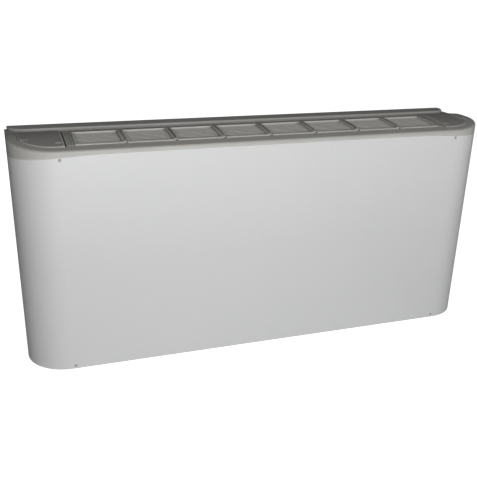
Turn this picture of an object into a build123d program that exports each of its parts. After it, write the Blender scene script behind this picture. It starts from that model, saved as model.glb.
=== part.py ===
from build123d import *
from math import cos, radians, sin, sqrt
import os

os.makedirs("parts", exist_ok=True)

# Fan convector heater in a floor or wall case.
# X runs along the case, Y from the room (front) to the wall (back), Z up. The origin is at the
# middle of the case's foot print, on the floor. Millimetres.

# ---------------------------------------------------------------- driving sizes
width = 1200.0
depth = 240.0
panel_height = 520.0  # top edge of the white panel, in its level middle
corner_radius = 100.0
end_zone = 140.0  # length of case outside the chassis, at each end
half = width / 2
front = -depth / 2
back = depth / 2
over = 5.0  # how far a cutting solid runs past what it cuts

# Sheets, walls and fits
panel_sheet = 1.2
chassis_sheet = 1.2
cover_wall = 3.0
running_fit = 0.05  # radial play of a pin or spindle in its bore
moving_gap = 0.8  # between a moving piece and the opening it sits in
seat_gap = 0.3  # all round a piece that is dropped in
screw_play = 0.3  # radial play of a screw in its clearance hole

# Chassis
chassis_half = half - end_zone  # outer face of each end plate
chassis_front = front + 24.0
chassis_back = back - chassis_sheet
chassis_mid = (chassis_front + chassis_back) / 2
rail_level = 1.5
rail_reach = 40.0  # how far each rail runs past the end plates
chassis_bottom = rail_level + chassis_sheet
chassis_top = panel_height - 20.0
inner_half = chassis_half - chassis_sheet


def block(x0, x1, y0, y1, z0, z1, mode=Mode.ADD):
    """Box between two corners, in the active part."""
    with Locations(((x0 + x1) / 2, (y0 + y1) / 2, (z0 + z1) / 2)):
        Box(x1 - x0, y1 - y0, z1 - z0, mode=mode)


def rod_x(x0, x1, y, z, radius, mode=Mode.ADD):
    """Round bar or hole along X, in the active part."""
    with Locations(Location(((x0 + x1) / 2, y, z), (0, 90, 0))):
        Cylinder(radius, x1 - x0, mode=mode)


def rod_y(x, y0, y1, z, radius, mode=Mode.ADD):
    """Round bar or hole along Y, in the active part."""
    with Locations(Location((x, (y0 + y1) / 2, z), (90, 0, 0))):
        Cylinder(radius, y1 - y0, mode=mode)


def rod_z(x, y, z0, z1, radius, mode=Mode.ADD):
    """Round bar or hole along Z, in the active part."""
    with Locations((x, y, (z0 + z1) / 2)):
        Cylinder(radius, z1 - z0, mode=mode)


# ---------------------------------------------------------------- white case panel
# One sheet of steel wrapped round both front corners, with its edges folded in all round.
panel_fold = 12.0
fall_length = 250.0  # end length of the top edge that bends down
fall_drop = 12.5  # how much lower that edge is at the ends
fall_radius = (fall_length**2 + fall_drop**2) / (2 * fall_drop)
panel_screw_half = chassis_half + 34.0
panel_screw_low = 8.0
panel_screw_high = chassis_top + 10.5
panel_head_radius = 3.5
panel_head_gap = 0.2
screw_radius = 2.0


def edge_level(x):
    """Height of the panel's top edge at x: level in the middle, bent down to each end."""
    run = max(abs(x) - (half - fall_length), 0.0)
    return panel_height - fall_radius + sqrt(fall_radius**2 - run**2)


def below_edge(shift):
    """Block under the line of the panel's top edge, with that line raised by shift."""
    flat = half - fall_length
    bend = half - fall_length / 2
    reach = half + over
    with BuildPart() as slab:
        with BuildSketch(Plane.XZ.offset(-back - over)):
            with BuildLine():
                Line((-flat, edge_level(flat) + shift), (flat, edge_level(flat) + shift))
                ThreePointArc(
                    (flat, edge_level(flat) + shift),
                    (bend, edge_level(bend) + shift),
                    (reach, edge_level(reach) + shift),
                )
                Line((reach, edge_level(reach) + shift), (reach, -over))
                Line((reach, -over), (-reach, -over))
                Line((-reach, -over), (-reach, edge_level(reach) + shift))
                ThreePointArc(
                    (-reach, edge_level(reach) + shift),
                    (-bend, edge_level(bend) + shift),
                    (-flat, edge_level(flat) + shift),
                )
            make_face()
        extrude(amount=depth + 2 * over)
    return slab.part


def case_plan(level, inset):
    """Plan of the case, drawn in by inset: square at the wall, round at the front corners."""
    with BuildSketch(Plane.XY.offset(level)) as plan:
        Rectangle(width - 2 * inset, depth - 2 * inset)
        fillet(plan.vertices().group_by(Axis.Y)[0], corner_radius - inset)
    return plan.sketch


with BuildPart() as case_hollow:
    extrude(case_plan(panel_sheet, panel_sheet), amount=panel_height)
    add(below_edge(-panel_sheet), mode=Mode.INTERSECT)

with BuildPart() as front_panel:
    extrude(case_plan(0, 0), amount=panel_height)
    add(below_edge(0), mode=Mode.INTERSECT)
    add(case_hollow.part, mode=Mode.SUBTRACT)
    extrude(case_plan(-over, panel_fold), amount=panel_height + 2 * over, mode=Mode.SUBTRACT)
    block(
        panel_fold - half,
        half - panel_fold,
        back - panel_fold - over,
        back + over,
        -over,
        panel_height + over,
        mode=Mode.SUBTRACT,
    )
    for x in (-panel_screw_half, panel_screw_half):
        for z in (panel_screw_low, panel_screw_high):
            rod_y(x, front - over, front + over, z, panel_head_radius + panel_head_gap, mode=Mode.SUBTRACT)
front_panel.part.label = "front_panel"
export_step(front_panel.part, "parts/front_panel.step")

# Flush screws that hold the panel to the two front rails
screw_grip = 8.0
slot_long = 2.2  # half length of each arm of a cross recess
slot_half = 0.4
slot_deep = 0.6
with BuildPart() as panel_screws:
    for x in (-panel_screw_half, panel_screw_half):
        for z in (panel_screw_low, panel_screw_high):
            rod_y(x, front, front + panel_sheet, z, panel_head_radius)
            rod_y(x, front + panel_sheet, front + screw_grip, z, screw_radius)
            for wide, tall in ((slot_long, slot_half), (slot_half, slot_long)):
                block(
                    x - wide, x + wide, front - over, front + slot_deep, z - tall, z + tall,
                    mode=Mode.SUBTRACT
                )
panel_screws.part.label = "panel_screws"
export_step(panel_screws.part, "parts/panel_screws.step")

# ---------------------------------------------------------------- surface of the top cover
# Seen from the end, the cover is level at the wall, rises from a valley to a crest and then
# falls to the front in one long arc.
valley_y = back - 60.0
valley_level = panel_height + 16.0
crest_y = back - 110.0
crest_level = panel_height + 23.5
nose_level = panel_height + 9.5  # where the arc meets the front plane
nose_drop = crest_level - nose_level
nose_run = crest_y - front
fall_arc = (nose_run**2 + nose_drop**2) / (2 * nose_drop)
rise_drop = crest_level - valley_level
rise_run = valley_y - crest_y
rise_arc = (rise_run**2 + rise_drop**2) / (2 * rise_drop)


def crown(y):
    """Height of the cover's surface at y."""
    if y >= valley_y:
        return valley_level
    arc = fall_arc if y < crest_y else rise_arc
    return crest_level - arc + sqrt(arc**2 - (y - crest_y) ** 2)


def crown_band(low, high, y0, y1):
    """Section between two surfaces parallel to the crown, from y0 to y1, as lines and arcs."""
    stops = [y0] + [y for y in (crest_y, valley_y) if y0 < y < y1] + [y1]
    with BuildLine() as outline:
        for y_a, y_b in zip(stops, stops[1:]):
            mid = (y_a + y_b) / 2
            for shift in (low, high):
                a = (y_a, crown(y_a) + shift)
                b = (y_b, crown(y_b) + shift)
                if y_a >= valley_y:
                    Line(a, b)
                else:
                    ThreePointArc(a, (mid, crown(mid) + shift), b)
        Line((y0, crown(y0) + low), (y0, crown(y0) + high))
        Line((y1, crown(y1) + low), (y1, crown(y1) + high))
    return outline.line


def crown_slab(low, high, y0, y1, x0, x1):
    """Solid between two surfaces parallel to the crown."""
    with BuildPart() as slab:
        with BuildSketch(Plane.YZ.offset(x0)):
            add(crown_band(low, high, y0, y1))
            make_face()
        extrude(amount=x1 - x0)
    return slab.part


def under_crown(plan, drop, tall=120.0):
    """Solid that stands on a plan and ends at the cover's surface lowered by drop."""
    with BuildPart() as solid:
        extrude(plan, amount=tall)
        add(
            crown_slab(-2 * tall, -drop, front - over, back + over, -half - over, half + over),
            mode=Mode.INTERSECT,
        )
    return solid.part


def box_plan(level, x0, x1, y0, y1):
    """Rectangular plan at a level."""
    with BuildSketch(Plane.XY.offset(level)) as plan:
        with Locations(((x0 + x1) / 2, (y0 + y1) / 2)):
            Rectangle(x1 - x0, y1 - y0)
    return plan.sketch


# ---------------------------------------------------------------- grille layout
grille_count = 8
grille_zone = 2 * chassis_half
grille_pitch = grille_zone / grille_count
grille_front = front + 28.0
grille_back = crest_y - 6.0
channel = 7.0  # sunk strip between the rims of two grilles
rim_step = 2.0  # how far a grille's body stands in from its rim
rim_rise = 2.0  # how far the rim stands above the cover
grille_depth = 10.0
rim_width = 4.6  # of the front and back rims
rim_side = 3.6  # of the two end rims
fin_bite = 0.6  # how far a fin's end is let into the rim
fin_inset = 0.7  # fin's edges below the body's top and above its foot
fin_thick = 1.8
fin_pitch = 10.4
fin_lean = 22.0  # degrees from upright
boss_radius = 5.6
boss_y = grille_front + 11.0


def grille_x(index):
    """Middle of a grille section."""
    return (index + 0.5) * grille_pitch - chassis_half


rib_places = [grille_x(i) + grille_pitch / 2 for i in range(grille_count - 1)]
body_half = (grille_pitch - channel) / 2 - rim_step


# ---------------------------------------------------------------- end flap layout
flap_rim = 25.0  # cover left between the flap and the case's end
flap_front_rim = 23.0
flap_strip = 19.0  # cover between the flap and the line of the end plate
flap_width = end_zone - flap_rim - flap_strip
flap_outer = half - flap_rim
flap_inner = flap_outer - flap_width
flap_front = front + flap_front_rim
finger_gap = 4.0  # open slot at the flap's inner side
hinge_y = back - 70.0
barrel_radius = 3.6
pin_radius = 1.5
barrel_sink = 0.3
hinge_z = crown(hinge_y) - barrel_radius - barrel_sink
lug_length = 7.0
flap_skin = 2.6
flap_skirt = 6.0
skirt_wall = 1.8
skirt_back = hinge_y - 14.0
flap_small_corner = 8.0
flap_corner = min(corner_radius - flap_front_rim, flap_width - flap_small_corner - 2.0)
flap_rise = 1.5  # flap's surface above the cover
flap_round = 1.2


def end_plan(side, level, inner, outer, near, far, big, small):
    """Plan at one end of the case with its outer front corner rounded to follow the case."""
    with BuildSketch(Plane.XY.offset(level)) as plan:
        with Locations((side * (inner + outer) / 2, (near + far) / 2)):
            Rectangle(outer - inner, far - near)
        corners = plan.vertices().group_by(Axis.Y)[0].sort_by(Axis.X)
        outer_corner = corners[-1] if side > 0 else corners[0]
        inner_corner = corners[0] if side > 0 else corners[-1]
        fillet(outer_corner, big)
        fillet(inner_corner, small)
    return plan.sketch


def flap_plan(side, level, grow, inner_grow, far):
    """Plan of a flap, let out by grow, with its own growth at the inner side."""
    return end_plan(
        side,
        level,
        flap_inner - inner_grow,
        flap_outer + grow,
        flap_front - grow,
        far,
        flap_corner + grow,
        flap_small_corner + grow,
    )


# ---------------------------------------------------------------- top cover
# Grey moulding that closes the case: a raised deck at the wall, eight windows for the grilles
# with ribs and screw bosses between them, and an opening at each end for a flap.
cover_gap = 0.4  # joint line between cover and panel
cover_round = 6.0
deck_level = panel_height + 24.5
deck_front = back - 54.0
deck_inset = 6.0
deck_corner = 44.0
deck_round = 3.0
boss_rise = 1.8
screw_head_radius = 3.6
screw_head_tall = 2.2
head_sink = 1.0
collar_wall = 2.2
ledge_drop = flap_skirt + 0.3
ledge_width = 3.5
low_level = chassis_top - 20.0
hinge_clear = barrel_radius + flap_rise + 1.6  # room for the flap's rear edge as it turns
opening_back = hinge_y + hinge_clear
mark_rib = 2.2
mark_rib_places = (chassis_half + 1.5, chassis_half + 8.0)
cover_tall = deck_level - low_level + 4 * over


def deck_plan(level, inset):
    """Plan of the raised deck at the wall, round at both front corners."""
    with BuildSketch(Plane.XY.offset(level)) as plan:
        with Locations((0, (deck_front + back) / 2)):
            Rectangle(width - 2 * deck_inset - 2 * inset, back - deck_front - 2 * inset)
        fillet(plan.vertices().group_by(Axis.Y)[0], deck_corner - inset)
    return plan.sketch


with BuildPart() as deck_block:
    extrude(deck_plan(valley_level - cover_wall, 0), amount=deck_level - valley_level + cover_wall)
    fillet(deck_block.faces().sort_by(Axis.Z)[-1].edges(), deck_round)

with BuildPart() as cover_skin:
    add(under_crown(case_plan(low_level, 0), 0))
    rim_edges = [
        edge
        for edge in cover_skin.edges()
        if edge.center().Z > nose_level - 1.0
        and (edge.center().Y < front + corner_radius - 1.0 or abs(edge.center().X) > half - 1.0)
        and edge.center().Y < valley_y - 1.0
    ]
    fillet(rim_edges, cover_round)
    add(below_edge(cover_gap), mode=Mode.SUBTRACT)

with BuildPart() as top_cover:
    add(cover_skin.part)
    add(deck_block.part)
    add(under_crown(case_plan(low_level - over, cover_wall), cover_wall), mode=Mode.SUBTRACT)
    extrude(
        deck_plan(valley_level - 2 * cover_wall, cover_wall),
        amount=deck_level - valley_level + cover_wall,
        mode=Mode.SUBTRACT,
    )
    # bosses for the rib screws stand on the chassis rail
    for x in rib_places:
        rod_z(x, boss_y, chassis_top + chassis_sheet, crown(boss_y) + boss_rise, boss_radius)
    # collars and ledges round the two flap openings, and the lugs that hold the hinge pins
    for side in (-1, 1):
        collar = under_crown(
            flap_plan(
                side,
                hinge_z - 14.0,
                moving_gap + collar_wall,
                finger_gap + collar_wall,
                opening_back + collar_wall,
            ),
            cover_wall - 0.5,
        )
        add(collar)
        opening = extrude(
            flap_plan(side, low_level - over, moving_gap, finger_gap, opening_back),
            amount=cover_tall,
            mode=Mode.PRIVATE,
        )
        add(opening, mode=Mode.SUBTRACT)
        ledge = under_crown(
            flap_plan(side, hinge_z - 14.0, moving_gap, finger_gap, skirt_back - 2.0), ledge_drop
        )
        add(ledge)
        ledge_hole = extrude(
            flap_plan(side, low_level, -ledge_width, -ledge_width, skirt_back + over),
            amount=cover_tall,
            mode=Mode.PRIVATE,
        )
        add(ledge_hole, mode=Mode.SUBTRACT)
        lug_sides = (
            (flap_outer + moving_gap, flap_outer + moving_gap + lug_length),
            (flap_inner - finger_gap - lug_length, flap_inner - finger_gap),
        )
        for near_x, far_x in lug_sides:
            ends = sorted((side * near_x, side * far_x))
            lug = under_crown(
                box_plan(hinge_z - 5.0, ends[0], ends[1], hinge_y - 6.0, opening_back + 2.0), 1.5
            )
            add(lug)
        pin_ends = sorted((side * lug_sides[0][1], side * lug_sides[1][0]))
        rod_x(pin_ends[0], pin_ends[1], hinge_y, hinge_z, pin_radius, mode=Mode.SUBTRACT)
        for place in mark_rib_places:
            add(
                crown_slab(
                    -1.0,
                    rim_rise - 0.4,
                    grille_front,
                    grille_back,
                    side * place - mark_rib / 2,
                    side * place + mark_rib / 2,
                )
            )
    # windows
    for i in range(grille_count):
        block(
            grille_x(i) - body_half - seat_gap,
            grille_x(i) + body_half + seat_gap,
            grille_front + rim_step - seat_gap,
            grille_back - rim_step + seat_gap,
            crown(grille_front) - cover_wall - over,
            crest_level + over,
            mode=Mode.SUBTRACT,
        )
    # screw holes and sunk seats in the bosses
    for x in rib_places:
        top = crown(boss_y) + boss_rise
        rod_z(x, boss_y, chassis_top, top + over, screw_radius + screw_play, mode=Mode.SUBTRACT)
        rod_z(
            x,
            boss_y,
            top - head_sink - screw_head_tall,
            top + over,
            screw_head_radius + screw_play,
            mode=Mode.SUBTRACT,
        )
top_cover.part.label = "top_cover"
export_step(top_cover.part, "parts/top_cover.step")

# Pan screws through the ribs into the top rail
cover_screw_end = chassis_top - 4.0
with BuildPart() as cover_screws:
    for x in rib_places:
        head_top = crown(boss_y) + boss_rise - head_sink
        rod_z(x, boss_y, cover_screw_end, head_top - screw_head_tall, screw_radius)
        rod_z(x, boss_y, head_top - screw_head_tall, head_top, screw_head_radius)
        for wide, long in ((slot_long, slot_half), (slot_half, slot_long)):
            block(
                x - wide,
                x + wide,
                boss_y - long,
                boss_y + long,
                head_top - 2 * slot_deep,
                head_top + over,
                mode=Mode.SUBTRACT,
            )
cover_screws.part.label = "cover_screws"
export_step(cover_screws.part, "parts/cover_screws.step")

# ---------------------------------------------------------------- louvre grilles
# Eight like inserts: a low rim on the cover, a body in the window and leaning fins.
rim_half = (grille_pitch - channel) / 2
fin_half = rim_half - rim_side + fin_bite
fin_count = int((grille_back - grille_front - 2 * rim_width) / fin_pitch)
fin_spread = (grille_back - grille_front - 2 * rim_width) / (fin_count + 1)
for i in range(grille_count):
    middle = grille_x(i)
    with BuildPart() as grille:
        add(
            crown_slab(
                0.0, rim_rise, grille_front, grille_back, middle - rim_half, middle + rim_half
            )
        )
        add(
            crown_slab(
                -grille_depth,
                0.0,
                grille_front + rim_step,
                grille_back - rim_step,
                middle - body_half,
                middle + body_half,
            )
        )
        block(
            middle - rim_half + rim_side,
            middle + rim_half - rim_side,
            grille_front + rim_width,
            grille_back - rim_width,
            crown(grille_front) - grille_depth - over,
            crest_level + over,
            mode=Mode.SUBTRACT,
        )
        # leaning fins run the length of the insert
        with BuildSketch(Plane.YZ.offset(middle - fin_half)):
            for k in range(fin_count):
                fin_y = grille_front + rim_width + (k + 1) * fin_spread
                fin_z = crown(fin_y) - grille_depth / 2
                with Locations(Location((fin_y, fin_z), fin_lean)):
                    Rectangle(fin_thick, grille_depth - 2 * fin_inset)
        extrude(amount=2 * fin_half)
        # notches that clear the screw bosses of the neighbouring ribs
        for x in (middle - grille_pitch / 2, middle + grille_pitch / 2):
            rod_z(
                x,
                boss_y,
                crown(grille_front) - grille_depth - over,
                crest_level + over,
                boss_radius + moving_gap,
                mode=Mode.SUBTRACT,
            )
    grille.part.label = f"grille_{i + 1}"
    export_step(grille.part, f"parts/grille_{i + 1}.step")

# ---------------------------------------------------------------- end flaps
# Each flap covers an access space and turns up and back on a steel pin along its rear edge.
grip_count = 3
grip_pitch = 5.0
grip_end = 9.0  # flap's outer edge to the first bar
grip_half = 0.9
grip_rise = 1.2
grip_front = 56.0  # crest to the bars' front ends
grip_back = 12.0
scoop_radius = 16.0
scoop_sink = 2.2
scoop_in = 11.0  # flap's inner edge to the scoop
scoop_back = 16.0  # flap's front edge to the scoop
barrel_end_gap = 0.5
for side, name in ((-1, "left_flap"), (1, "right_flap")):
    with BuildPart() as flap_lid:
        add(under_crown(flap_plan(side, low_level, 0.0, 0.0, hinge_y), -flap_rise))
        lid_edges = [
            edge
            for edge in flap_lid.edges()
            if edge.center().Z > crown(flap_front)
            and edge.center().Y < hinge_y - 1.0
            and abs(edge.center().Y - crest_y) > 0.5
        ]
        fillet(lid_edges, flap_round)
    with BuildPart() as grip_bars:
        for k in range(grip_count):
            bar_x = side * (flap_outer - grip_end - k * grip_pitch)
            add(
                crown_slab(
                    flap_rise - grip_rise,
                    flap_rise + grip_rise,
                    crest_y - grip_front,
                    crest_y - grip_back,
                    bar_x - grip_half,
                    bar_x + grip_half,
                )
            )
        extrude(
            flap_plan(side, low_level, -2 * flap_round, -2 * flap_round, hinge_y),
            amount=cover_tall,
            mode=Mode.INTERSECT,
        )
    with BuildPart() as flap:
        add(flap_lid.part)
        add(
            under_crown(flap_plan(side, low_level - over, over, over, hinge_y + over), flap_skirt),
            mode=Mode.SUBTRACT,
        )
        add(
            under_crown(
                flap_plan(side, low_level, -skirt_wall, -skirt_wall, skirt_back - skirt_wall),
                flap_skin,
            ),
            mode=Mode.SUBTRACT,
        )
        add(
            under_crown(
                box_plan(
                    low_level, *sorted((side * (flap_inner - over), side * (flap_outer + over))),
                    skirt_back, hinge_y + over
                ),
                flap_skin,
            ),
            mode=Mode.SUBTRACT,
        )
        barrel = sorted(
            (
                side * (flap_inner - finger_gap + barrel_end_gap),
                side * (flap_outer + moving_gap - barrel_end_gap),
            )
        )
        rod_x(barrel[0], barrel[1], hinge_y, hinge_z, barrel_radius)
        rod_x(
            barrel[0] - 1.0,
            barrel[1] + 1.0,
            hinge_y,
            hinge_z,
            pin_radius + running_fit,
            mode=Mode.SUBTRACT,
        )
        # finger scoop at the inner front corner, grip bars at the outer end
        scoop_x = side * (flap_inner + scoop_in)
        scoop_y = flap_front + scoop_back
        scoop_z = crown(scoop_y) + flap_rise + scoop_radius - scoop_sink
        with Locations((scoop_x, scoop_y, scoop_z)):
            Sphere(scoop_radius, mode=Mode.SUBTRACT)
        add(grip_bars.part)
    flap.part.label = name
    export_step(flap.part, f"parts/{name}.step")

with BuildPart() as hinge_pins:
    for side in (-1, 1):
        ends = sorted(
            (
                side * (flap_outer + moving_gap + lug_length),
                side * (flap_inner - finger_gap - lug_length),
            )
        )
        rod_x(ends[0], ends[1], hinge_y, hinge_z, pin_radius)
hinge_pins.part.label = "hinge_pins"
export_step(hinge_pins.part, "parts/hinge_pins.step")

# ---------------------------------------------------------------- stack inside the case
# From the floor up: filter, fans, fan deck, coil in its drip tray, outlet grilles.
filter_level = 8.0
filter_tall = 8.0
plenum = 44.0  # free height between filter and fan housings
scroll_gap = 18.0
fan_forward = 9.5  # fans stand this much nearer the panel than the middle of their space
scroll_growth = 26.0
tongue_gap = 10.0
chassis_depth = chassis_back - chassis_front
scroll_start = (chassis_depth - 2 * scroll_gap - scroll_growth * 4 / 3) / 2
impeller_radius = scroll_start - tongue_gap
fan_y = chassis_front + scroll_gap - fan_forward + scroll_start + scroll_growth
fan_z = filter_level + filter_tall + plenum + scroll_start + scroll_growth * 2 / 3
outlet_neck = 28.0
outlet_rise = scroll_start + outlet_neck
fan_deck_level = fan_z + outlet_rise
duct_front = chassis_front - chassis_sheet

# ---------------------------------------------------------------- chassis
ear_reach = 35.0  # back plate past each end plate
plate_shy = 1.0  # back plate's top edge below the cover
slot_width = 9.0
slot_length = 20.0
slot_x = chassis_half + ear_reach / 2
slot_low = 60.0
slot_high = chassis_top - 40.0
end_flange = 15.0
spigot_radius = 8.0
spigot_back = 52.0  # spigot behind the middle of the chassis
spigot_y = chassis_mid + spigot_back

with BuildPart() as back_plate:
    block(
        -chassis_half - ear_reach,
        chassis_half + ear_reach,
        chassis_back,
        back,
        chassis_bottom,
        edge_level(chassis_half + ear_reach) - plate_shy,
    )
    with BuildSketch(Plane.XZ.offset(-back - over)):
        with Locations(
            (-slot_x, slot_low), (slot_x, slot_low), (-slot_x, slot_high), (slot_x, slot_high)
        ):
            SlotOverall(slot_length, slot_width)
    extrude(amount=2 * over + chassis_sheet, mode=Mode.SUBTRACT)
back_plate.part.label = "back_plate"
export_step(back_plate.part, "parts/back_plate.step")


def front_rail(name, leg_level, top, bottom, leg_back, screw_z):
    """Angle rail behind the panel, with a leg between the end plates."""
    with BuildPart() as rail:
        block(
            -chassis_half - rail_reach,
            chassis_half + rail_reach,
            front + panel_sheet,
            front + panel_sheet + chassis_sheet,
            bottom,
            top,
        )
        block(
            -chassis_half, chassis_half, front + panel_sheet, leg_back, leg_level,
            leg_level + chassis_sheet
        )
        for x in (-panel_screw_half, panel_screw_half):
            rod_y(x, front, front + 2 * over, screw_z, screw_radius, mode=Mode.SUBTRACT)
        if name == "top_rail":
            for x in rib_places:
                rod_z(x, boss_y, leg_level - over, leg_level + over, screw_radius, Mode.SUBTRACT)
    rail.part.label = name
    export_step(rail.part, f"parts/{name}.step")


top_leg_past = 12.0  # top rail's leg behind the cover screws
bottom_leg_past = 8.0  # bottom rail's leg behind the chassis front
top_leg_back = boss_y + top_leg_past
bottom_leg_back = chassis_front + bottom_leg_past
rail_tall = 13.5
front_rail(
    "top_rail", chassis_top, chassis_top + rail_tall, chassis_top, top_leg_back, panel_screw_high
)
front_rail(
    "bottom_rail", rail_level, rail_level + rail_tall, rail_level, bottom_leg_back, panel_screw_low
)

# ---------------------------------------------------------------- water coil
# Copper tubes in three rows through a leaning pack of aluminium fins.
coil_lean = 35.0
row_pitch = 22.0
tube_pitch = 25.0
row_count = 3
tube_radius = 5.0
tube_wall = 0.6
coil_end_gap = 28.0  # room for the bends at each end
coil_half = inner_half - coil_end_gap
coil_foot = 13.0  # fan deck to the coil's lowest corner
coil_head = 4.0  # coil's highest corner to the chassis top
coil_side = 10.0  # coil's free depth in the chassis
coil_low = fan_deck_level + coil_foot
coil_high = chassis_top - coil_head
lean_sin = sin(radians(coil_lean))
lean_cos = cos(radians(coil_lean))
coil_thick = row_count * row_pitch
room_up = (coil_high - coil_low - coil_thick * lean_sin) / lean_cos
room_deep = (chassis_depth - coil_side - coil_thick * lean_cos) / lean_sin
tubes_high = 2 * int(min(room_up, room_deep) / (2 * tube_pitch))
coil_tall = tubes_high * tube_pitch
coil_y = chassis_mid
coil_z = coil_low + (coil_tall * lean_cos + coil_thick * lean_sin) / 2
fin_sheet = 0.5
fin_step = 10.0
coil_plate_sheet = 1.5
coil_plate_rim = 2.0  # coil plate past the outer fins
tube_past = 4.0  # tubes past each coil plate
tube_entry = 0.5  # tube ends past the header's inner wall
header_radius = 10.0
header_wall = 1.0
header_out = 16.0
header_x = -chassis_half - header_out
union_radius = 13.0
union_bore = 9.3
union_depth = 15.0
union_reach = 24.0
union_port = 2.0  # how much smaller the header's side hole is than the thread
union_waterway = 2.5
union_shoulder = 5.0  # hexagon past the thread's end
union_end = header_x - header_radius - union_reach


def coil_plane(x):
    """Cross plane of the coil at x: across its rows, then up its height."""
    return Plane(origin=(x, coil_y, coil_z), x_dir=(0, lean_cos, lean_sin), z_dir=(1, 0, 0))


def coil_point(x, across, up):
    """Point in space from a place in the coil's cross plane."""
    return (x, coil_y + across * lean_cos - up * lean_sin, coil_z + across * lean_sin + up * lean_cos)


tube_rows = [(r - (row_count - 1) / 2) * row_pitch for r in range(row_count)]
tube_ups = [(t - (tubes_high - 1) / 2) * tube_pitch for t in range(tubes_high)]
flow_row = tube_rows[-1]
return_row = tube_rows[0]
flow_tubes = [(flow_row, up) for up in tube_ups[0::2]]
return_tubes = [(return_row, up) for up in tube_ups[1::2]]
plain_tubes = [
    (row, up)
    for row in tube_rows
    for up in tube_ups
    if (row, up) not in flow_tubes + return_tubes
]

with BuildPart() as fin_pack:
    fin_places = int(2 * coil_half / fin_step)
    fin_start = -fin_places * fin_step / 2
    with BuildSketch(*[coil_plane(fin_start + k * fin_step) for k in range(fin_places + 1)]):
        Rectangle(coil_thick, coil_tall)
    extrude(amount=fin_sheet)
fin_pack.part.label = "fin_pack"
export_step(fin_pack.part, "parts/fin_pack.step")

tube_end = coil_half + coil_plate_sheet + tube_past
with BuildPart() as coil_tubes:
    for places, left_end in (
        (plain_tubes, -tube_end),
        (flow_tubes + return_tubes, header_x + header_radius - header_wall - tube_entry),
    ):
        with BuildSketch(coil_plane(left_end)):
            with Locations(*places):
                Circle(tube_radius)
                Circle(tube_radius - tube_wall, mode=Mode.SUBTRACT)
        extrude(amount=tube_end - left_end)
coil_tubes.part.label = "coil_tubes"
export_step(coil_tubes.part, "parts/coil_tubes.step")


def bends(name, x, direction, pairs):
    """Copper U bends that join pairs of tubes past one end of the coil."""
    with BuildPart() as group:
        for (row_a, up_a), (row_b, up_b) in pairs:
            a = Vector(*coil_point(x, row_a, up_a))
            b = Vector(*coil_point(x, row_b, up_b))
            top = (a + b) * 0.5 + Vector(direction * (b - a).length / 2, 0, 0)
            with BuildLine():
                ThreePointArc(a, top, b)
            with BuildSketch(Plane(origin=a, z_dir=(direction, 0, 0))):
                Circle(tube_radius)
                Circle(tube_radius - tube_wall, mode=Mode.SUBTRACT)
            sweep()
    group.part.label = name
    export_step(group.part, f"parts/{name}.step")


pair_lows = list(zip(tube_ups[0::2], tube_ups[1::2]))
bends(
    "return_bends",
    tube_end,
    1,
    [((row, low), (row, high)) for row in tube_rows for low, high in pair_lows],
)
bends(
    "link_bends",
    -tube_end,
    -1,
    [((tube_rows[2], high), (tube_rows[1], high)) for low, high in pair_lows]
    + [((tube_rows[1], low), (tube_rows[0], low)) for low, high in pair_lows],
)

for name, x in (("left_coil_plate", -coil_half - coil_plate_sheet), ("right_coil_plate", coil_half)):
    with BuildPart() as coil_plate:
        with BuildSketch(coil_plane(x)):
            Rectangle(coil_thick + 2 * coil_plate_rim, coil_tall + coil_plate_rim)
            with GridLocations(row_pitch, tube_pitch, row_count, tubes_high):
                Circle(tube_radius, mode=Mode.SUBTRACT)
        extrude(amount=coil_plate_sheet)
    coil_plate.part.label = name
    export_step(coil_plate.part, f"parts/{name}.step")

# Headers stand outside the left end plate, each with a threaded brass union facing the end
header_short = 2.0  # header's end inside the coil's end
header_half = coil_tall / 2 - header_short
flow_union_up = tube_ups[0] + tube_pitch / 2
return_union_up = tube_ups[-1] - tube_pitch / 2
up_axis = (0, -lean_sin, lean_cos)


def header(name, row, tubes, union_up):
    """Closed copper header with a side hole for each tube and one for its union."""
    with BuildPart() as pipe:
        with BuildSketch(Plane(origin=coil_point(header_x, row, -header_half), z_dir=up_axis)):
            Circle(header_radius)
        extrude(amount=2 * header_half)
        inner = Plane(origin=coil_point(header_x, row, header_wall - header_half), z_dir=up_axis)
        with BuildSketch(inner):
            Circle(header_radius - header_wall)
        extrude(amount=2 * (header_half - header_wall), mode=Mode.SUBTRACT)
        with BuildSketch(coil_plane(header_x)):
            with Locations(*tubes):
                Circle(tube_radius)
        extrude(amount=2 * header_radius, mode=Mode.SUBTRACT)
        with BuildSketch(coil_plane(header_x)):
            with Locations((row, union_up)):
                Circle(union_bore - union_port)
        extrude(amount=-2 * header_radius, mode=Mode.SUBTRACT)
    pipe.part.label = name
    export_step(pipe.part, f"parts/{name}.step")


def union(name, row, union_up):
    """Brass union: a hexagon with a female pipe thread, on a saddle that fits the header."""
    with BuildPart() as brass:
        with BuildSketch(coil_plane(union_end)):
            with Locations((row, union_up)):
                RegularPolygon(union_radius, 6)
        extrude(amount=union_depth + union_shoulder)
        with BuildSketch(coil_plane(union_end + union_depth + union_shoulder)):
            with Locations((row, union_up)):
                Circle(union_bore)
        extrude(amount=header_x - union_end - union_depth - union_shoulder)
        with BuildSketch(coil_plane(union_end)):
            with Locations((row, union_up)):
                Circle(union_bore)
        extrude(amount=union_depth, mode=Mode.SUBTRACT)
        with BuildSketch(coil_plane(union_end)):
            with Locations((row, union_up)):
                Circle(union_bore - union_waterway)
        extrude(amount=header_x - union_end, mode=Mode.SUBTRACT)
        with BuildSketch(Plane(origin=coil_point(header_x, row, -header_half), z_dir=up_axis)):
            Circle(header_radius)
        extrude(amount=2 * header_half, mode=Mode.SUBTRACT)
    brass.part.label = name
    export_step(brass.part, f"parts/{name}.step")


header("flow_header", flow_row, flow_tubes, flow_union_up)
header("return_header", return_row, return_tubes, return_union_up)
union("flow_union", flow_row, flow_union_up)
union("return_union", return_row, return_union_up)

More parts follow.
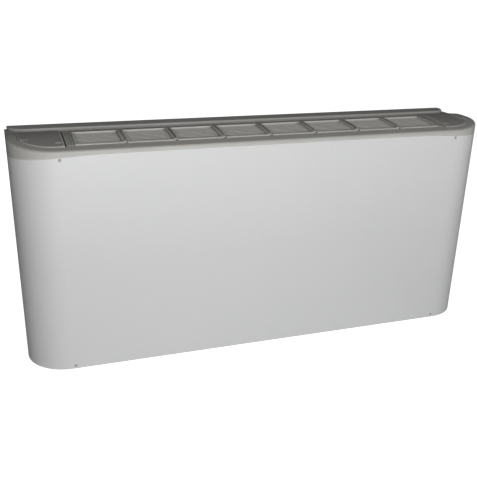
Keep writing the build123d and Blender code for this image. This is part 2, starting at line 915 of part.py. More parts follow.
# Hand air vent on top of the return header
vent_radius = 6.5
vent_tall = 16.0
vent_screw_radius = 2.5
vent_head_radius = 5.0
vent_head_tall = 7.0
vent_screw_depth = 10.0
vent_lift = 0.5  # under the screw's end and its head
vent_groove = 0.6
vent_grooves = 12
vent_slot = 1.2
vent_slot_deep = 1.5


def vent_plane(up):
    """Plane across the vent's axis, up from the top of the return header."""
    return Plane(origin=coil_point(header_x, return_row, header_half + up), z_dir=up_axis)


with BuildPart() as vent_body:
    with BuildSketch(vent_plane(0)):
        RegularPolygon(vent_radius, 6)
    extrude(amount=vent_tall)
    with BuildSketch(vent_plane(vent_tall - vent_screw_depth)):
        Circle(vent_screw_radius + running_fit)
    extrude(amount=vent_screw_depth, mode=Mode.SUBTRACT)
vent_body.part.label = "vent_body"
export_step(vent_body.part, "parts/vent_body.step")

with BuildPart() as vent_screw:
    with BuildSketch(vent_plane(vent_tall - vent_screw_depth + vent_lift)):
        Circle(vent_screw_radius)
    extrude(amount=vent_screw_depth)
    with BuildSketch(vent_plane(vent_tall + vent_lift)):
        Circle(vent_head_radius)
        with PolarLocations(vent_head_radius, vent_grooves):
            Circle(vent_groove, mode=Mode.SUBTRACT)
    extrude(amount=vent_head_tall)
    with BuildSketch(vent_plane(vent_tall + vent_head_tall - vent_slot_deep)):
        Rectangle(3 * vent_head_radius, vent_slot)
    extrude(amount=over, mode=Mode.SUBTRACT)
vent_screw.part.label = "vent_screw"
export_step(vent_screw.part, "parts/vent_screw.step")

# ---------------------------------------------------------------- end plates and fan deck
tray_wall = 1.6
tray_front = coil_y + 6.0  # behind the coil's lean, under its lower edge
tray_back_gap = 5.0
tray_end_gap = 1.0
tray_back = chassis_back - tray_back_gap
tray_level = fan_deck_level + chassis_sheet
tray_tall = 24.0
tray_half = inner_half - tray_end_gap
spigot_lift = 1.0
spigot_hole_gap = 1.0
spigot_z = tray_level + spigot_radius + spigot_lift
spigot_reach = chassis_half + 42.0
deck_lip = 15.0
lip_screw_drop = 7.0
lip_screw_in = 40.0
lip_screw_places = (chassis_front + lip_screw_in, chassis_back - lip_screw_in)
lip_screw_grip = 6.0
lip_head_tall = 2.4
lip_head_radius = 4.0
coil_window_rim = 2.0  # left plate left round the coil's window

for side, name in ((-1, "left_end_plate"), (1, "right_end_plate")):
    with BuildPart() as end_plate:
        block(
            *sorted((side * inner_half, side * chassis_half)),
            chassis_front,
            chassis_back,
            chassis_bottom,
            chassis_top,
        )
        block(
            *sorted((side * (inner_half - end_flange), side * inner_half)),
            chassis_back - chassis_sheet,
            chassis_back,
            chassis_bottom,
            chassis_top,
        )
        for y in lip_screw_places:
            rod_x(
                *sorted((side * (inner_half - over), side * (chassis_half + over))),
                y,
                fan_deck_level - lip_screw_drop,
                screw_radius,
                mode=Mode.SUBTRACT,
            )
        if side < 0:
            with BuildSketch(coil_plane(-chassis_half - over)):
                Rectangle(coil_thick - 2 * coil_window_rim, coil_tall - 2 * coil_window_rim)
            extrude(amount=3 * over, mode=Mode.SUBTRACT)
            rod_x(
                -chassis_half - over,
                -inner_half + over,
                spigot_y,
                spigot_z,
                spigot_radius + spigot_hole_gap,
                mode=Mode.SUBTRACT,
            )
    end_plate.part.label = name
    export_step(end_plate.part, f"parts/{name}.step")

with BuildPart() as duct_panel:
    block(-chassis_half, chassis_half, duct_front, chassis_front, fan_deck_level, chassis_top)
duct_panel.part.label = "duct_panel"
export_step(duct_panel.part, "parts/duct_panel.step")

with BuildPart() as drip_tray:
    block(-tray_half, tray_half, tray_front, tray_back, tray_level, tray_level + tray_tall)
    block(
        tray_wall - tray_half,
        tray_half - tray_wall,
        tray_front + tray_wall,
        tray_back - tray_wall,
        tray_level + tray_wall,
        tray_level + tray_tall + over,
        mode=Mode.SUBTRACT,
    )
    rod_x(-spigot_reach, -tray_half, spigot_y, spigot_z, spigot_radius)
    rod_x(
        -spigot_reach - over,
        tray_wall + over - tray_half,
        spigot_y,
        spigot_z,
        spigot_radius - tray_wall,
        mode=Mode.SUBTRACT,
    )
drip_tray.part.label = "drip_tray"
export_step(drip_tray.part, "parts/drip_tray.step")

# ---------------------------------------------------------------- fans
# Two double-inlet drum fans on the ends of one motor shaft, hung under the fan deck.
motor_space = 75.0  # middle of the case to the inner side of each fan housing
scroll_width = 232.0
scroll_wall = 1.5
wheel_gap = 9.0
inlet_lip = 10.0  # housing's side wall inside the wheel's edge
inlet_radius = impeller_radius - inlet_lip
tongue_y = -10.0
scroll_steps = 6


def scroll_radius(turn):
    """Radius of the housing after a turn in degrees from the tongue."""
    return scroll_start + scroll_growth * turn / 270.0


def scroll_point(turn, inset):
    """Point on the housing wall in (y, z); the air turns from the top by way of the back."""
    angle = radians(90.0 - turn)
    radius = scroll_radius(turn) - inset
    return (fan_y + radius * cos(angle), fan_z + radius * sin(angle))


def scroll_section(x, inset, rise):
    """Section of a fan housing: a spiral that opens into an upright outlet."""
    top = fan_z + outlet_rise + rise
    start = scroll_point(0.0, inset)
    tongue = fan_y + tongue_y - inset
    last = scroll_point(270.0, inset)
    stops = [scroll_point(270.0 * k / scroll_steps, inset) for k in range(scroll_steps + 1)]
    with BuildSketch(Plane.YZ.offset(x)) as section:
        with BuildLine():
            Line((tongue, top), (tongue, start[1]))
            Line((tongue, start[1]), start)
            Spline(*stops, tangents=((1, 0), (0, 1)))
            Line(last, (last[0], top))
            Line((last[0], top), (tongue, top))
        make_face()
    return section.sketch


outlet_near = scroll_point(270.0, scroll_wall)[0]
outlet_far = fan_y + tongue_y - scroll_wall

for side, name in ((-1, "left_fan_housing"), (1, "right_fan_housing")):
    x0, x1 = sorted((side * motor_space, side * (motor_space + scroll_width)))
    with BuildPart() as housing:
        extrude(scroll_section(x0, 0.0, 0.0), amount=scroll_width)
        extrude(
            scroll_section(x0 + scroll_wall, scroll_wall, over),
            amount=scroll_width - 2 * scroll_wall,
            mode=Mode.SUBTRACT,
        )
        rod_x(x0 - over, x1 + over, fan_y, fan_z, inlet_radius, mode=Mode.SUBTRACT)
    housing.part.label = name
    export_step(housing.part, f"parts/{name}.step")

with BuildPart() as fan_deck:
    block(
        -inner_half,
        inner_half,
        chassis_front,
        chassis_back - chassis_sheet,
        fan_deck_level,
        fan_deck_level + chassis_sheet,
    )
    for side in (-1, 1):
        ends = sorted((side * (inner_half - chassis_sheet), side * inner_half))
        block(
            ends[0],
            ends[1],
            chassis_front,
            chassis_back - chassis_sheet,
            fan_deck_level - deck_lip,
            fan_deck_level,
        )
        near_x = side * (motor_space + scroll_wall)
        far_x = side * (motor_space + scroll_width - scroll_wall)
        block(
            *sorted((near_x, far_x)),
            outlet_near,
            outlet_far,
            fan_deck_level - over,
            fan_deck_level + over,
            mode=Mode.SUBTRACT,
        )
        for y in lip_screw_places:
            rod_x(
                ends[0] - over,
                ends[1] + over,
                y,
                fan_deck_level - lip_screw_drop,
                screw_radius,
                mode=Mode.SUBTRACT,
            )
fan_deck.part.label = "fan_deck"
export_step(fan_deck.part, "parts/fan_deck.step")

with BuildPart() as chassis_screws:
    for side in (-1, 1):
        for y in lip_screw_places:
            z = fan_deck_level - lip_screw_drop
            shank = sorted((side * (inner_half - lip_screw_grip), side * chassis_half))
            head = sorted((side * chassis_half, side * (chassis_half + lip_head_tall)))
            rod_x(*shank, y, z, screw_radius)
            rod_x(*head, y, z, lip_head_radius)
chassis_screws.part.label = "chassis_screws"
export_step(chassis_screws.part, "parts/chassis_screws.step")

shaft_radius = 6.0
blade_count = 36
blade_chord = 12.0
blade_sheet = 1.0
blade_lean = 30.0
ring_wide = 3.0
web_sheet = 2.0
hub_radius = 15.0
hub_half = 14.0
wheel_length = scroll_width - 2 * scroll_wall - 2 * wheel_gap
shaft_past = 6.0  # shaft past each hub
shaft_half = motor_space + scroll_width / 2 + hub_half + shaft_past

for side, name in ((-1, "left_impeller"), (1, "right_impeller")):
    wheel_mid = side * (motor_space + scroll_width / 2)
    with BuildPart() as wheel:
        with BuildSketch(
            Plane(origin=(wheel_mid - wheel_length / 2, fan_y, fan_z), x_dir=(0, 1, 0), z_dir=(1, 0, 0))
        ):
            with PolarLocations(impeller_radius - blade_chord / 2, blade_count):
                with Locations(Location((0, 0), side * blade_lean)):
                    Rectangle(blade_chord, blade_sheet)
        extrude(amount=wheel_length)
        for x in (wheel_mid - wheel_length / 2, wheel_mid + wheel_length / 2 - ring_wide):
            with BuildSketch(Plane(origin=(x, fan_y, fan_z), x_dir=(0, 1, 0), z_dir=(1, 0, 0))):
                Circle(impeller_radius)
                Circle(impeller_radius - blade_chord, mode=Mode.SUBTRACT)
            extrude(amount=ring_wide)
        rod_x(wheel_mid - web_sheet / 2, wheel_mid + web_sheet / 2, fan_y, fan_z, impeller_radius)
        rod_x(wheel_mid - hub_half, wheel_mid + hub_half, fan_y, fan_z, hub_radius)
        rod_x(
            wheel_mid - hub_half - over,
            wheel_mid + hub_half + over,
            fan_y,
            fan_z,
            shaft_radius,
            mode=Mode.SUBTRACT,
        )
    wheel.part.label = name
    export_step(wheel.part, f"parts/{name}.step")

with BuildPart() as fan_shaft:
    rod_x(-shaft_half, shaft_half, fan_y, fan_z, shaft_radius)
fan_shaft.part.label = "fan_shaft"
export_step(fan_shaft.part, "parts/fan_shaft.step")

# Motor held by rubber rings in two arms under the deck
motor_radius = 46.0
motor_half = 42.0
bell_radius = 34.0
bell_half = 50.0
nose_radius = 19.0
nose_half = 64.0
ring_radius = 27.0
ring_half = 5.0
arm_below = 10.0  # arm past its ring
arm_sheet = 3.0
arm_middle = 57.0
arm_half_width = 38.0

with BuildPart() as fan_motor:
    for reach, radius in (
        (motor_half, motor_radius),
        (bell_half, bell_radius),
        (nose_half, nose_radius),
    ):
        rod_x(-reach, reach, fan_y, fan_z, radius)
    rod_x(
        -nose_half - over,
        nose_half + over,
        fan_y,
        fan_z,
        shaft_radius + running_fit,
        mode=Mode.SUBTRACT,
    )
fan_motor.part.label = "fan_motor"
export_step(fan_motor.part, "parts/fan_motor.step")

with BuildPart() as motor_rings:
    for side in (-1, 1):
        ends = sorted((side * (arm_middle - ring_half), side * (arm_middle + ring_half)))
        rod_x(ends[0], ends[1], fan_y, fan_z, ring_radius)
        rod_x(ends[0] - over, ends[1] + over, fan_y, fan_z, nose_radius, mode=Mode.SUBTRACT)
motor_rings.part.label = "motor_rings"
export_step(motor_rings.part, "parts/motor_rings.step")

with BuildPart() as motor_bracket:
    block(
        -arm_middle - arm_sheet / 2,
        arm_middle + arm_sheet / 2,
        fan_y - arm_half_width,
        fan_y + arm_half_width,
        fan_deck_level - arm_sheet,
        fan_deck_level,
    )
    for side in (-1, 1):
        block(
            *sorted((side * (arm_middle - arm_sheet / 2), side * (arm_middle + arm_sheet / 2))),
            fan_y - arm_half_width,
            fan_y + arm_half_width,
            fan_z - ring_radius - arm_below,
            fan_deck_level - arm_sheet,
        )
    rod_x(-2 * arm_middle, 2 * arm_middle, fan_y, fan_z, ring_radius, mode=Mode.SUBTRACT)
motor_bracket.part.label = "motor_bracket"
export_step(motor_bracket.part, "parts/motor_bracket.step")

# ---------------------------------------------------------------- filter
# Plastic frame and net that pull down out of four spring clips under the fans.
clip_gap = 0.3
clip_sheet = 4.5
filter_half = inner_half - clip_sheet - clip_gap
filter_front = bottom_leg_back + 2.0
filter_back = chassis_back - 3.0
filter_bar = 12.0
filter_cells = 4
net_sheet = 1.2
clip_wide = 30.0
clip_in = 30.0  # filter's edge to the middle of a clip
clip_below = 2.0
clip_above = 10.0

with BuildPart() as filter_frame:
    block(
        -filter_half, filter_half, filter_front, filter_back, filter_level, filter_level + filter_tall
    )
    cell = (2 * filter_half - filter_bar) / filter_cells
    for k in range(filter_cells):
        start_x = -filter_half + filter_bar + k * cell
        block(
            start_x,
            start_x + cell - filter_bar,
            filter_front + filter_bar,
            filter_back - filter_bar,
            filter_level - over,
            filter_level + filter_tall + over,
            mode=Mode.SUBTRACT,
        )
filter_frame.part.label = "filter_frame"
export_step(filter_frame.part, "parts/filter_frame.step")

with BuildPart() as filter_mesh:
    for k in range(filter_cells):
        start_x = -filter_half + filter_bar + k * cell
        block(
            start_x,
            start_x + cell - filter_bar,
            filter_front + filter_bar,
            filter_back - filter_bar,
            filter_level + filter_tall / 2,
            filter_level + filter_tall / 2 + net_sheet,
        )
filter_mesh.part.label = "filter_mesh"
export_step(filter_mesh.part, "parts/filter_mesh.step")

with BuildPart() as filter_clips:
    for side in (-1, 1):
        for y in (filter_front + clip_in, filter_back - clip_in):
            block(
                *sorted((side * (filter_half + clip_gap), side * inner_half)),
                y - clip_wide / 2,
                y + clip_wide / 2,
                filter_level - clip_below,
                filter_level + filter_tall + clip_above,
            )
filter_clips.part.label = "filter_clips"
export_step(filter_clips.part, "parts/filter_clips.step")

# ---------------------------------------------------------------- controls under the right flap
# A box on the right end plate with a plate that carries the thermostat, the fan speed selector
# and the season switch, and holds the terminals and the motor capacitor.
box_inner = chassis_half
box_inset = 1.0  # box inside the flap's outline
box_outer = flap_outer - box_inset
box_near = flap_front + box_inset
box_far = hinge_y - 5.5
box_corner = flap_corner - box_inset
box_small_corner = 6.0
box_wall = 2.0
box_deep = 72.0  # chassis top to the box's floor
box_bottom = chassis_top - box_deep
plate_level = chassis_top + 6.0
plate_sheet = 2.0
plate_top = plate_level + plate_sheet
gland_x = box_inner + 38.0
gland_y = box_far - 22.0
gland_radius = 8.0
gland_bore = 4.5
gland_nut = 11.0
gland_nut_tall = 6.0
gland_tail = 10.0
gland_locknut = 10.0
gland_locknut_tall = 5.0


def box_section(level, inset):
    """Plan of the control box, drawn in by inset."""
    return end_plan(
        1,
        level,
        box_inner + inset,
        box_outer - inset,
        box_near + inset,
        box_far - inset,
        box_corner - inset,
        box_small_corner - inset,
    )


with BuildPart() as control_box:
    extrude(box_section(box_bottom, 0.0), amount=plate_level - box_bottom)
    extrude(box_section(box_bottom + box_wall, box_wall), amount=plate_level, mode=Mode.SUBTRACT)
    rod_z(
        gland_x, gland_y, box_bottom - over, box_bottom + over, gland_radius, mode=Mode.SUBTRACT
    )
control_box.part.label = "control_box"
export_step(control_box.part, "parts/control_box.step")

with BuildPart() as cable_gland:
    nut_low = box_bottom - gland_nut_tall
    tail_low = nut_low - gland_tail
    floor_top = box_bottom + box_wall
    locknut_top = floor_top + gland_locknut_tall
    rod_z(gland_x, gland_y, tail_low, floor_top, gland_radius)
    with BuildSketch(Plane.XY.offset(nut_low)):
        with Locations((gland_x, gland_y)):
            RegularPolygon(gland_nut, 6)
    extrude(amount=gland_nut_tall)
    rod_z(gland_x, gland_y, floor_top, locknut_top, gland_locknut)
    rod_z(
        gland_x, gland_y, tail_low - over, locknut_top + over, gland_bore, mode=Mode.SUBTRACT
    )
cable_gland.part.label = "cable_gland"
export_step(cable_gland.part, "parts/cable_gland.step")

dial_x = (flap_inner + flap_outer) / 2 - 6.0
dial_spacing = 48.0
selector_y = crest_y + 4.0
thermostat_y = selector_y - dial_spacing
rocker_x = flap_outer - 16.0
rocker_y = selector_y
spindle_radius = 3.0
rocker_radius = 9.0
rocker_half = 5.5
rocker_turn = 24.0
rocker_axis_z = plate_top - 1.0
frame_wall = 2.0
rocker_play = 0.5  # rocker's end to its frame
rocker_pivot_drop = 4.0
rocker_pin = 1.5
rocker_crown = 5.5  # pivot to the rocker's face
frame_deep = 16.0
frame_floor = 3.0
knob_lift = 1.0
knob_flange = 3.0
knob_waist = 2.5  # knob's grip inside its flange
knob_cap = 4.0
knob_groove = 0.9
mark_half = 0.7
mark_long = 9.0
mark_deep = 1.0
spindle_in = 12.0  # spindle's hole in the switch body
spindle_end_gap = 0.5

with BuildPart() as control_plate:
    extrude(box_section(plate_level, 0.0), amount=plate_sheet)
    for y in (thermostat_y, selector_y):
        rod_z(
            dial_x, y, plate_level - over, plate_top + over, spindle_radius + screw_play,
            mode=Mode.SUBTRACT
        )
    block(
        rocker_x - rocker_half - frame_wall,
        rocker_x + rocker_half + frame_wall,
        rocker_y - rocker_radius - frame_wall - rocker_play,
        rocker_y + rocker_radius + frame_wall + rocker_play,
        plate_level - over,
        plate_top + over,
        mode=Mode.SUBTRACT,
    )
control_plate.part.label = "control_plate"
export_step(control_plate.part, "parts/control_plate.step")


def dial(prefix, y, radius, tall, body_wide, body_deep, groove_count):
    """Switch body under the plate, its spindle, and the knob that turns it."""
    x = dial_x
    body_top = plate_level
    body_low = body_top - body_deep
    knob_low = plate_top + knob_lift
    with BuildPart() as body:
        block(
            x - body_wide / 2, x + body_wide / 2, y - body_wide / 2, y + body_wide / 2,
            body_low, body_top
        )
        hole_low = body_top - spindle_in
        rod_z(x, y, hole_low, body_top + over, spindle_radius + running_fit, Mode.SUBTRACT)
    body.part.label = f"{prefix}_body"
    export_step(body.part, f"parts/{prefix}_body.step")
    with BuildPart() as spindle:
        rod_z(
            x, y, body_top - spindle_in + spindle_end_gap, knob_low + tall - knob_cap, spindle_radius
        )
    spindle.part.label = f"{prefix}_spindle"
    export_step(spindle.part, f"parts/{prefix}_spindle.step")
    with BuildPart() as knob:
        rod_z(x, y, knob_low, knob_low + knob_flange, radius)
        with BuildSketch(Plane.XY.offset(knob_low + knob_flange)):
            with Locations((x, y)):
                Circle(radius - knob_waist)
                with PolarLocations(radius - knob_waist, groove_count):
                    Circle(knob_groove, mode=Mode.SUBTRACT)
        extrude(amount=tall - knob_flange)
        block(
            x - mark_half,
            x + mark_half,
            y + radius - mark_long,
            y + radius,
            knob_low + tall - mark_deep,
            knob_low + tall + over,
            mode=Mode.SUBTRACT,
        )
        rod_z(x, y, plate_top, knob_low + tall - knob_cap, spindle_radius, mode=Mode.SUBTRACT)
    knob.part.label = f"{prefix}_knob"
    export_step(knob.part, f"parts/{prefix}_knob.step")


dial("thermostat", thermostat_y, 19.0, 13.0, 36.0, 32.0, 30)
dial("speed", selector_y, 15.0, 12.0, 30.0, 28.0, 24)

with BuildPart() as season_frame:
    block(
        rocker_x - rocker_half - frame_wall,
        rocker_x + rocker_half + frame_wall,
        rocker_y - rocker_radius - frame_wall - rocker_play,
        rocker_y + rocker_radius + frame_wall + rocker_play,
        plate_level - frame_deep,
        plate_top + 1.0,
    )
    block(
        rocker_x - rocker_half - seat_gap,
        rocker_x + rocker_half + seat_gap,
        rocker_y - rocker_radius - rocker_play,
        rocker_y + rocker_radius + rocker_play,
        plate_level - frame_deep + frame_floor,
        plate_top + over,
        mode=Mode.SUBTRACT,
    )
    rod_x(
        rocker_x - rocker_half - frame_wall - over,
        rocker_x + rocker_half + frame_wall + over,
        rocker_y,
        rocker_axis_z - rocker_pivot_drop,
        rocker_pin,
        mode=Mode.SUBTRACT,
    )
season_frame.part.label = "season_frame"
export_step(season_frame.part, "parts/season_frame.step")

# The rocker is a round bar cut to a shallow V on top, so that either side can be pressed down
with BuildPart() as season_rocker:
    rod_x(
        rocker_x - rocker_half, rocker_x + rocker_half, rocker_y, rocker_axis_z - rocker_pivot_drop, rocker_radius
    )
    rod_x(
        rocker_x - rocker_half - frame_wall,
        rocker_x + rocker_half + frame_wall,
        rocker_y,
        rocker_axis_z - rocker_pivot_drop,
        rocker_pin - running_fit,
    )
    with BuildSketch(Plane.YZ.offset(rocker_x - rocker_half - over)):
        for tilt in (-rocker_turn / 2, rocker_turn / 2):
            cut = tilt - rocker_turn / 2
            with Locations(Location((rocker_y, rocker_axis_z - rocker_pivot_drop), cut)):
                with Locations((0, rocker_crown + rocker_radius)):
                    Rectangle(4 * rocker_radius, 2 * rocker_radius)
    extrude(amount=2 * rocker_half + 2 * over, mode=Mode.SUBTRACT)
season_rocker.part.label = "season_rocker"
export_step(season_rocker.part, "parts/season_rocker.step")

# Screw terminals on the floor of the box, and the motor's capacitor lying beside them
terminal_x = box_inner + 30.0
terminal_y = box_near + 36.0
terminal_half = 22.0
terminal_deep = 18.0
terminal_tall = 14.0
terminal_count = 5
terminal_pitch = 8.0
terminal_hole = 2.6
terminal_hole_deep = 8.0
with BuildPart() as terminal_block:
    terminal_top = box_bottom + box_wall + terminal_tall
    block(
        terminal_x - terminal_half,
        terminal_x + terminal_half,
        terminal_y - terminal_deep / 2,
        terminal_y + terminal_deep / 2,
        box_bottom + box_wall,
        terminal_top,
    )
    for k in range(terminal_count):
        x = terminal_x + (k - (terminal_count - 1) / 2) * terminal_pitch
        rod_z(
            x, terminal_y, terminal_top - terminal_hole_deep, terminal_top + over, terminal_hole,
            mode=Mode.SUBTRACT
        )
terminal_block.part.label = "terminal_block"
export_step(terminal_block.part, "parts/terminal_block.step")

can_radius = 14.0
can_long = 48.0
can_x = box_outer - box_wall - can_radius - 8.0
can_back = box_far - 14.0
with BuildPart() as capacitor:
    rod_y(can_x, can_back - can_long, can_back, box_bottom + box_wall + can_radius, can_radius)
    fillet(capacitor.edges(), 1.5)
capacitor.part.label = "capacitor"
export_step(capacitor.part, "parts/capacitor.step")
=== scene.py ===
import math

import bpy
from mathutils import Matrix, Vector


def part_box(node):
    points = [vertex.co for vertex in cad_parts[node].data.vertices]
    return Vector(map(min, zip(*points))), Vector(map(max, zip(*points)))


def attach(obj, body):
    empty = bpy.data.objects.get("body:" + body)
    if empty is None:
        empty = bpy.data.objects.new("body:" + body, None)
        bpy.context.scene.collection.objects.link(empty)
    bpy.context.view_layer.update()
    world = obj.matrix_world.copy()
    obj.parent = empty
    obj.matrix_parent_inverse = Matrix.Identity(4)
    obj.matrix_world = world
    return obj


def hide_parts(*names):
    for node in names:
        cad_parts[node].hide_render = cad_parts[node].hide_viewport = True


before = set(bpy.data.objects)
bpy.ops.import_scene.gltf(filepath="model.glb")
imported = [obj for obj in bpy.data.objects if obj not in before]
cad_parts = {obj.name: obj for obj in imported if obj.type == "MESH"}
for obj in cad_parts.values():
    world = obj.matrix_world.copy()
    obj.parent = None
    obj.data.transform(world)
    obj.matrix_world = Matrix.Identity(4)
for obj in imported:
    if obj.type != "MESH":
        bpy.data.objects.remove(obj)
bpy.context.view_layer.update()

# ---------------------------------------------------------------- White case panel
# One sheet of mild steel folded round both front corners and powder coated white. The coat
# has the faint pebble of sprayed powder, and its colour is darkened towards the floor as painted
# shade.


def new_group(name, inputs, outputs):
    """Shader node group with named sockets, and its input and output nodes."""
    tree = bpy.data.node_groups.new(name, "ShaderNodeTree")
    for socket, kind, value in inputs:
        made = tree.interface.new_socket(socket, in_out="INPUT", socket_type=kind)
        if value is not None:
            made.default_value = value
    for socket, kind in outputs:
        tree.interface.new_socket(socket, in_out="OUTPUT", socket_type=kind)
    return tree, tree.nodes.new("NodeGroupInput"), tree.nodes.new("NodeGroupOutput")


def add_node(tree, kind, settings=None, **values):
    """Node with its settings and the values of its named inputs."""
    node = tree.nodes.new(kind)
    for key, value in (settings or {}).items():
        setattr(node, key, value)
    for key, value in values.items():
        node.inputs[key.replace("_", " ")].default_value = value
    return node


def join(tree, source, target):
    """Link an output to an input."""
    tree.links.new(source, target)


def mottle_group():
    """Slow change of tone over a surface, with dust where it faces up."""
    tree, inp, out = new_group(
        "surface_tone",
        (
            ("Color", "NodeSocketColor", (0.5, 0.5, 0.5, 1)),
            ("Shade", "NodeSocketColor", (0.4, 0.4, 0.4, 1)),
            ("Scale", "NodeSocketFloat", 6.0),
            ("Amount", "NodeSocketFloat", 0.2),
            ("Dust", "NodeSocketFloat", 0.1),
        ),
        (("Color", "NodeSocketColor"), ("Mask", "NodeSocketFloat")),
    )
    place = add_node(tree, "ShaderNodeTexCoord")
    noise = add_node(tree, "ShaderNodeTexNoise", Detail=5.0, Roughness=0.6)
    join(tree, place.outputs["Object"], noise.inputs["Vector"])
    join(tree, inp.outputs["Scale"], noise.inputs["Scale"])
    spread = add_node(tree, "ShaderNodeMapRange")
    spread.inputs["From Min"].default_value = 0.35
    spread.inputs["From Max"].default_value = 0.7
    join(tree, noise.outputs["Fac"], spread.inputs["Value"])
    weigh = add_node(tree, "ShaderNodeMath", {"operation": "MULTIPLY"})
    join(tree, spread.outputs["Result"], weigh.inputs[0])
    join(tree, inp.outputs["Amount"], weigh.inputs[1])
    tone = add_node(tree, "ShaderNodeMix", {"data_type": "RGBA"})
    join(tree, weigh.outputs[0], tone.inputs["Factor"])
    join(tree, inp.outputs["Color"], tone.inputs[6])
    join(tree, inp.outputs["Shade"], tone.inputs[7])
    facing = add_node(tree, "ShaderNodeNewGeometry")
    split = add_node(tree, "ShaderNodeSeparateXYZ")
    join(tree, facing.outputs["Normal"], split.inputs[0])
    upward = add_node(tree, "ShaderNodeMapRange")
    upward.inputs["From Min"].default_value = 0.55
    upward.inputs["From Max"].default_value = 1.0
    join(tree, split.outputs["Z"], upward.inputs["Value"])
    fine = add_node(tree, "ShaderNodeTexNoise", Scale=180.0, Detail=4.0)
    join(tree, place.outputs["Object"], fine.inputs["Vector"])
    settle = add_node(tree, "ShaderNodeMath", {"operation": "MULTIPLY"})
    join(tree, upward.outputs["Result"], settle.inputs[0])
    join(tree, fine.outputs["Fac"], settle.inputs[1])
    film = add_node(tree, "ShaderNodeMath", {"operation": "MULTIPLY"})
    join(tree, settle.outputs[0], film.inputs[0])
    join(tree, inp.outputs["Dust"], film.inputs[1])
    dusty = add_node(tree, "ShaderNodeMix", {"data_type": "RGBA"})
    dusty.inputs[7].default_value = (0.62, 0.60, 0.56, 1)
    join(tree, film.outputs[0], dusty.inputs["Factor"])
    join(tree, tone.outputs[2], dusty.inputs[6])
    join(tree, dusty.outputs[2], out.inputs["Color"])
    join(tree, spread.outputs["Result"], out.inputs["Mask"])
    return tree


def grain_group():
    """Fine height of a sprayed or moulded surface, at two sizes."""
    tree, inp, out = new_group(
        "fine_grain",
        (
            ("Coarse", "NodeSocketFloat", 400.0),
            ("Fine", "NodeSocketFloat", 1500.0),
            ("Balance", "NodeSocketFloat", 0.4),
        ),
        (("Height", "NodeSocketFloat"),),
    )
    place = add_node(tree, "ShaderNodeTexCoord")
    large = add_node(tree, "ShaderNodeTexNoise", Detail=3.0, Roughness=0.5)
    small = add_node(tree, "ShaderNodeTexNoise", Detail=2.0, Roughness=0.6)
    for noise, socket in ((large, "Coarse"), (small, "Fine")):
        join(tree, place.outputs["Object"], noise.inputs["Vector"])
        join(tree, inp.outputs[socket], noise.inputs["Scale"])
    blend = add_node(tree, "ShaderNodeMix", {"data_type": "FLOAT"})
    join(tree, inp.outputs["Balance"], blend.inputs["Factor"])
    join(tree, large.outputs["Fac"], blend.inputs[2])
    join(tree, small.outputs["Fac"], blend.inputs[3])
    join(tree, blend.outputs[0], out.inputs["Height"])
    return tree


SURFACE_TONE = mottle_group()
FINE_GRAIN = grain_group()


def finish_material(
    name,
    color,
    shade,
    rough,
    scale=6.0,
    amount=0.25,
    dust=0.1,
    coarse=400.0,
    fine=1500.0,
    bump=0.15,
    bump_depth=0.0004,
    metal=0.0,
    coat=0.0,
    rough_swing=0.08,
):
    """Material with changing tone, dust on upward faces, and a grain that bumps the surface."""
    material = bpy.data.materials.new(name)
    material.use_nodes = True
    tree = material.node_tree
    shader = tree.nodes["Principled BSDF"]
    shader.inputs["Metallic"].default_value = metal
    shader.inputs["Coat Weight"].default_value = coat
    tone = add_node(tree, "ShaderNodeGroup", {"node_tree": SURFACE_TONE})
    tone.inputs["Color"].default_value = (*color, 1)
    tone.inputs["Shade"].default_value = (*shade, 1)
    tone.inputs["Scale"].default_value = scale
    tone.inputs["Amount"].default_value = amount
    tone.inputs["Dust"].default_value = dust
    join(tree, tone.outputs["Color"], shader.inputs["Base Color"])
    swing = add_node(tree, "ShaderNodeMapRange")
    swing.inputs["To Min"].default_value = rough - rough_swing
    swing.inputs["To Max"].default_value = rough + rough_swing
    join(tree, tone.outputs["Mask"], swing.inputs["Value"])
    join(tree, swing.outputs["Result"], shader.inputs["Roughness"])
    grain = add_node(tree, "ShaderNodeGroup", {"node_tree": FINE_GRAIN})
    grain.inputs["Coarse"].default_value = coarse
    grain.inputs["Fine"].default_value = fine
    lift = add_node(tree, "ShaderNodeBump", Strength=bump, Distance=bump_depth)
    join(tree, grain.outputs["Height"], lift.inputs["Height"])
    join(tree, lift.outputs["Normal"], shader.inputs["Normal"])
    return material


def scale_color(material, factor):
    """Multiply a material's base colour by the value of a socket."""
    tree = material.node_tree
    color = tree.nodes["Principled BSDF"].inputs["Base Color"]
    base = color.links[0].from_socket
    scaled = add_node(tree, "ShaderNodeVectorMath", {"operation": "SCALE"})
    join(tree, base, scaled.inputs[0])
    join(tree, factor, scaled.inputs["Scale"])
    join(tree, scaled.outputs[0], color)


def dress(material, *names):
    """Give CAD nodes a material through their slots."""
    for name in names:
        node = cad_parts[name]
        if not node.material_slots:
            node.data.materials.append(material)
        for slot in node.material_slots:
            slot.material = material


